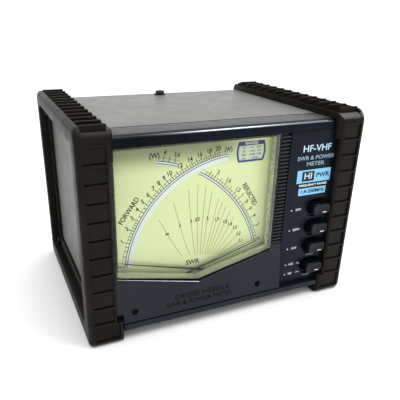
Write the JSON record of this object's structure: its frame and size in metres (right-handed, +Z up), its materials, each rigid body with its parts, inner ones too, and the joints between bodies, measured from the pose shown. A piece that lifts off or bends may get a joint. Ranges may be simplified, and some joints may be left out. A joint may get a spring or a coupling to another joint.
{
  "type": "SWR and power meter",
  "caption": "Bench-top cross-needle SWR and power meter: grey sheet-metal case, moulded ribbed side frames, V-bottomed lit dial window, push-button column, rear coaxial sockets.",
  "frame": {"origin": "middle of the footprint on the standing surface, at the underside of the side frames", "axes": "+X to the right seen from the front, +Y to the rear where the sockets are, +Z up; the dial faces -Y"},
  "size_m": [0.182, 0.1466, 0.1302],
  "materials": {
    "frame_plastic": "satin, fine grain",
    "black_steel": "black oxide",
    "case_paint": "satin mid grey enamel",
    "rear_paint": "satin mid grey enamel",
    "chassis_metal": "plain rolled",
    "zinc_steel": "zinc plated",
    "bezel_plastic": "satin dark navy",
    "trim_plastic": "satin charcoal",
    "panel_plastic": "satin dark navy, printed",
    "clear_plastic": "clear polystyrene",
    "dial_print": "matt printed sheet",
    "lamp": "diffused lens",
    "ivory_plastic": "moulded",
    "soft_iron": "machined",
    "magnet": "sintered",
    "brass": "machined",
    "gold_brass": "gold flash",
    "copper": "drawn copper",
    "coil_wire": "enamelled copper winding",
    "needle_metal": "black painted",
    "black_plastic": "moulded",
    "cap_plastic": "satin charcoal",
    "board_green": "solder resist",
    "cable_grey": "ribbon insulation",
    "wire_red": "wire insulation",
    "trimmer_blue": "moulded",
    "tinplate": "bright tin",
    "nickel": "nickel plated brass",
    "white_plastic": "fluoropolymer"
  },
  "bodies": {
    "case": {"left_frame": "frame_plastic", "right_frame": "frame_plastic", "frame_screws": "black_steel", "top_cover": "case_paint", "cover_screw": "black_steel", "chassis": "chassis_metal", "chassis_screws": "zinc_steel", "rear_panel": "rear_paint", "bezel": "bezel_plastic", "bezel_screws": "zinc_steel", "ribbed_trim": "trim_plastic", "control_panel": "panel_plastic", "window": "clear_plastic", "dial_plate": "dial_print", "dial_screws": "zinc_steel", "dial_lamps": "lamp", "meter_base": "ivory_plastic", "yokes": "soft_iron", "core_magnets": "magnet", "core_holders": "brass", "front_bridges": "brass", "jewel_screws": "brass", "hairsprings": "brass", "switch_bodies": "ivory_plastic", "switch_bracket": "zinc_steel", "inner_screws": "zinc_steel", "switch_board": "board_green", "ribbon_cable": "cable_grey", "wiring": "wire_red", "main_board": "board_green", "board_standoffs": "brass", "trimmer_pots": "trimmer_blue", "electrolytics": "black_plastic", "ic_packages": "black_plastic", "coupler_box": "tinplate", "coupler_lid": "tinplate", "coupler_board": "board_green", "toroid_cores": "magnet", "through_line": "copper", "socket_shells": "nickel", "socket_insulators": "white_plastic", "socket_contacts": "gold_brass", "socket_screws": "zinc_steel", "dc_jack": "black_plastic"},
    "range_button_low": {"range_cap_low": "cap_plastic", "range_plunger_low": "ivory_plastic"},
    "range_button_mid": {"range_cap_mid": "cap_plastic", "range_plunger_mid": "ivory_plastic"},
    "range_button_high": {"range_cap_high": "cap_plastic", "range_plunger_high": "ivory_plastic"},
    "mode_button": {"mode_cap": "cap_plastic", "mode_plunger": "ivory_plastic"},
    "forward_movement": {"forward_needle": "needle_metal", "forward_coil": "coil_wire"},
    "reflected_movement": {"reflected_needle": "needle_metal", "reflected_coil": "coil_wire"},
    "forward_adjuster": {"forward_zero_screw": "black_plastic"},
    "forward_lever": {"forward_zero_lever": "brass"},
    "reflected_adjuster": {"reflected_zero_screw": "black_plastic"},
    "reflected_lever": {"reflected_zero_lever": "brass"}
  },
  "joints": [
    {"name": "range_low_press", "type": "slide", "parent": "case", "child": "range_button_low", "axis": [0, 1, 0], "range_m": [0, 0.0035], "stiffness_N_per_m": 500, "springref_m": -0.001},
    {"name": "range_mid_press", "type": "slide", "parent": "case", "child": "range_button_mid", "axis": [0, 1, 0], "range_m": [0, 0.0035], "stiffness_N_per_m": 500, "springref_m": -0.001},
    {"name": "range_high_press", "type": "slide", "parent": "case", "child": "range_button_high", "axis": [0, 1, 0], "range_m": [0, 0.0035], "stiffness_N_per_m": 500, "springref_m": -0.001},
    {"name": "mode_press", "type": "slide", "parent": "case", "child": "mode_button", "axis": [0, 1, 0], "range_m": [0, 0.0035], "stiffness_N_per_m": 500, "springref_m": -0.001},
    {"name": "forward_swing", "type": "hinge", "parent": "case", "child": "forward_movement", "pos_m": [0.02175, -0.06065, 0.021], "axis": [0, 1, 0], "range_deg": [0, 62], "stiffness_Nm_per_rad": 0.0001, "springref_deg": -17.19},
    {"name": "reflected_swing", "type": "hinge", "parent": "case", "child": "reflected_movement", "pos_m": [-0.06255, -0.06185, 0.021], "axis": [0, -1, 0], "range_deg": [0, 62], "stiffness_Nm_per_rad": 0.0001, "springref_deg": -17.19},
    {"name": "forward_zero_turn", "type": "hinge", "parent": "case", "child": "forward_adjuster", "pos_m": [0.02175, -0.06825, 0.0177], "axis": [0, 1, 0], "range_deg": [-60, 60]},
    {"name": "forward_zero_rock", "type": "hinge", "parent": "case", "child": "forward_lever", "pos_m": [0.02175, -0.0649, 0.021], "axis": [0, 1, 0], "range_deg": [-12, 12]},
    {"name": "reflected_zero_turn", "type": "hinge", "parent": "case", "child": "reflected_adjuster", "pos_m": [-0.06255, -0.06825, 0.0177], "axis": [0, 1, 0], "range_deg": [-60, 60]},
    {"name": "reflected_zero_rock", "type": "hinge", "parent": "case", "child": "reflected_lever", "pos_m": [-0.06255, -0.0649, 0.021], "axis": [0, 1, 0], "range_deg": [-12, 12]}
  ],
  "couplings": [
    {"joint": "forward_zero_rock", "follows": "forward_zero_turn", "ratio": 0.19},
    {"joint": "reflected_zero_rock", "follows": "reflected_zero_turn", "ratio": 0.19}
  ]
}
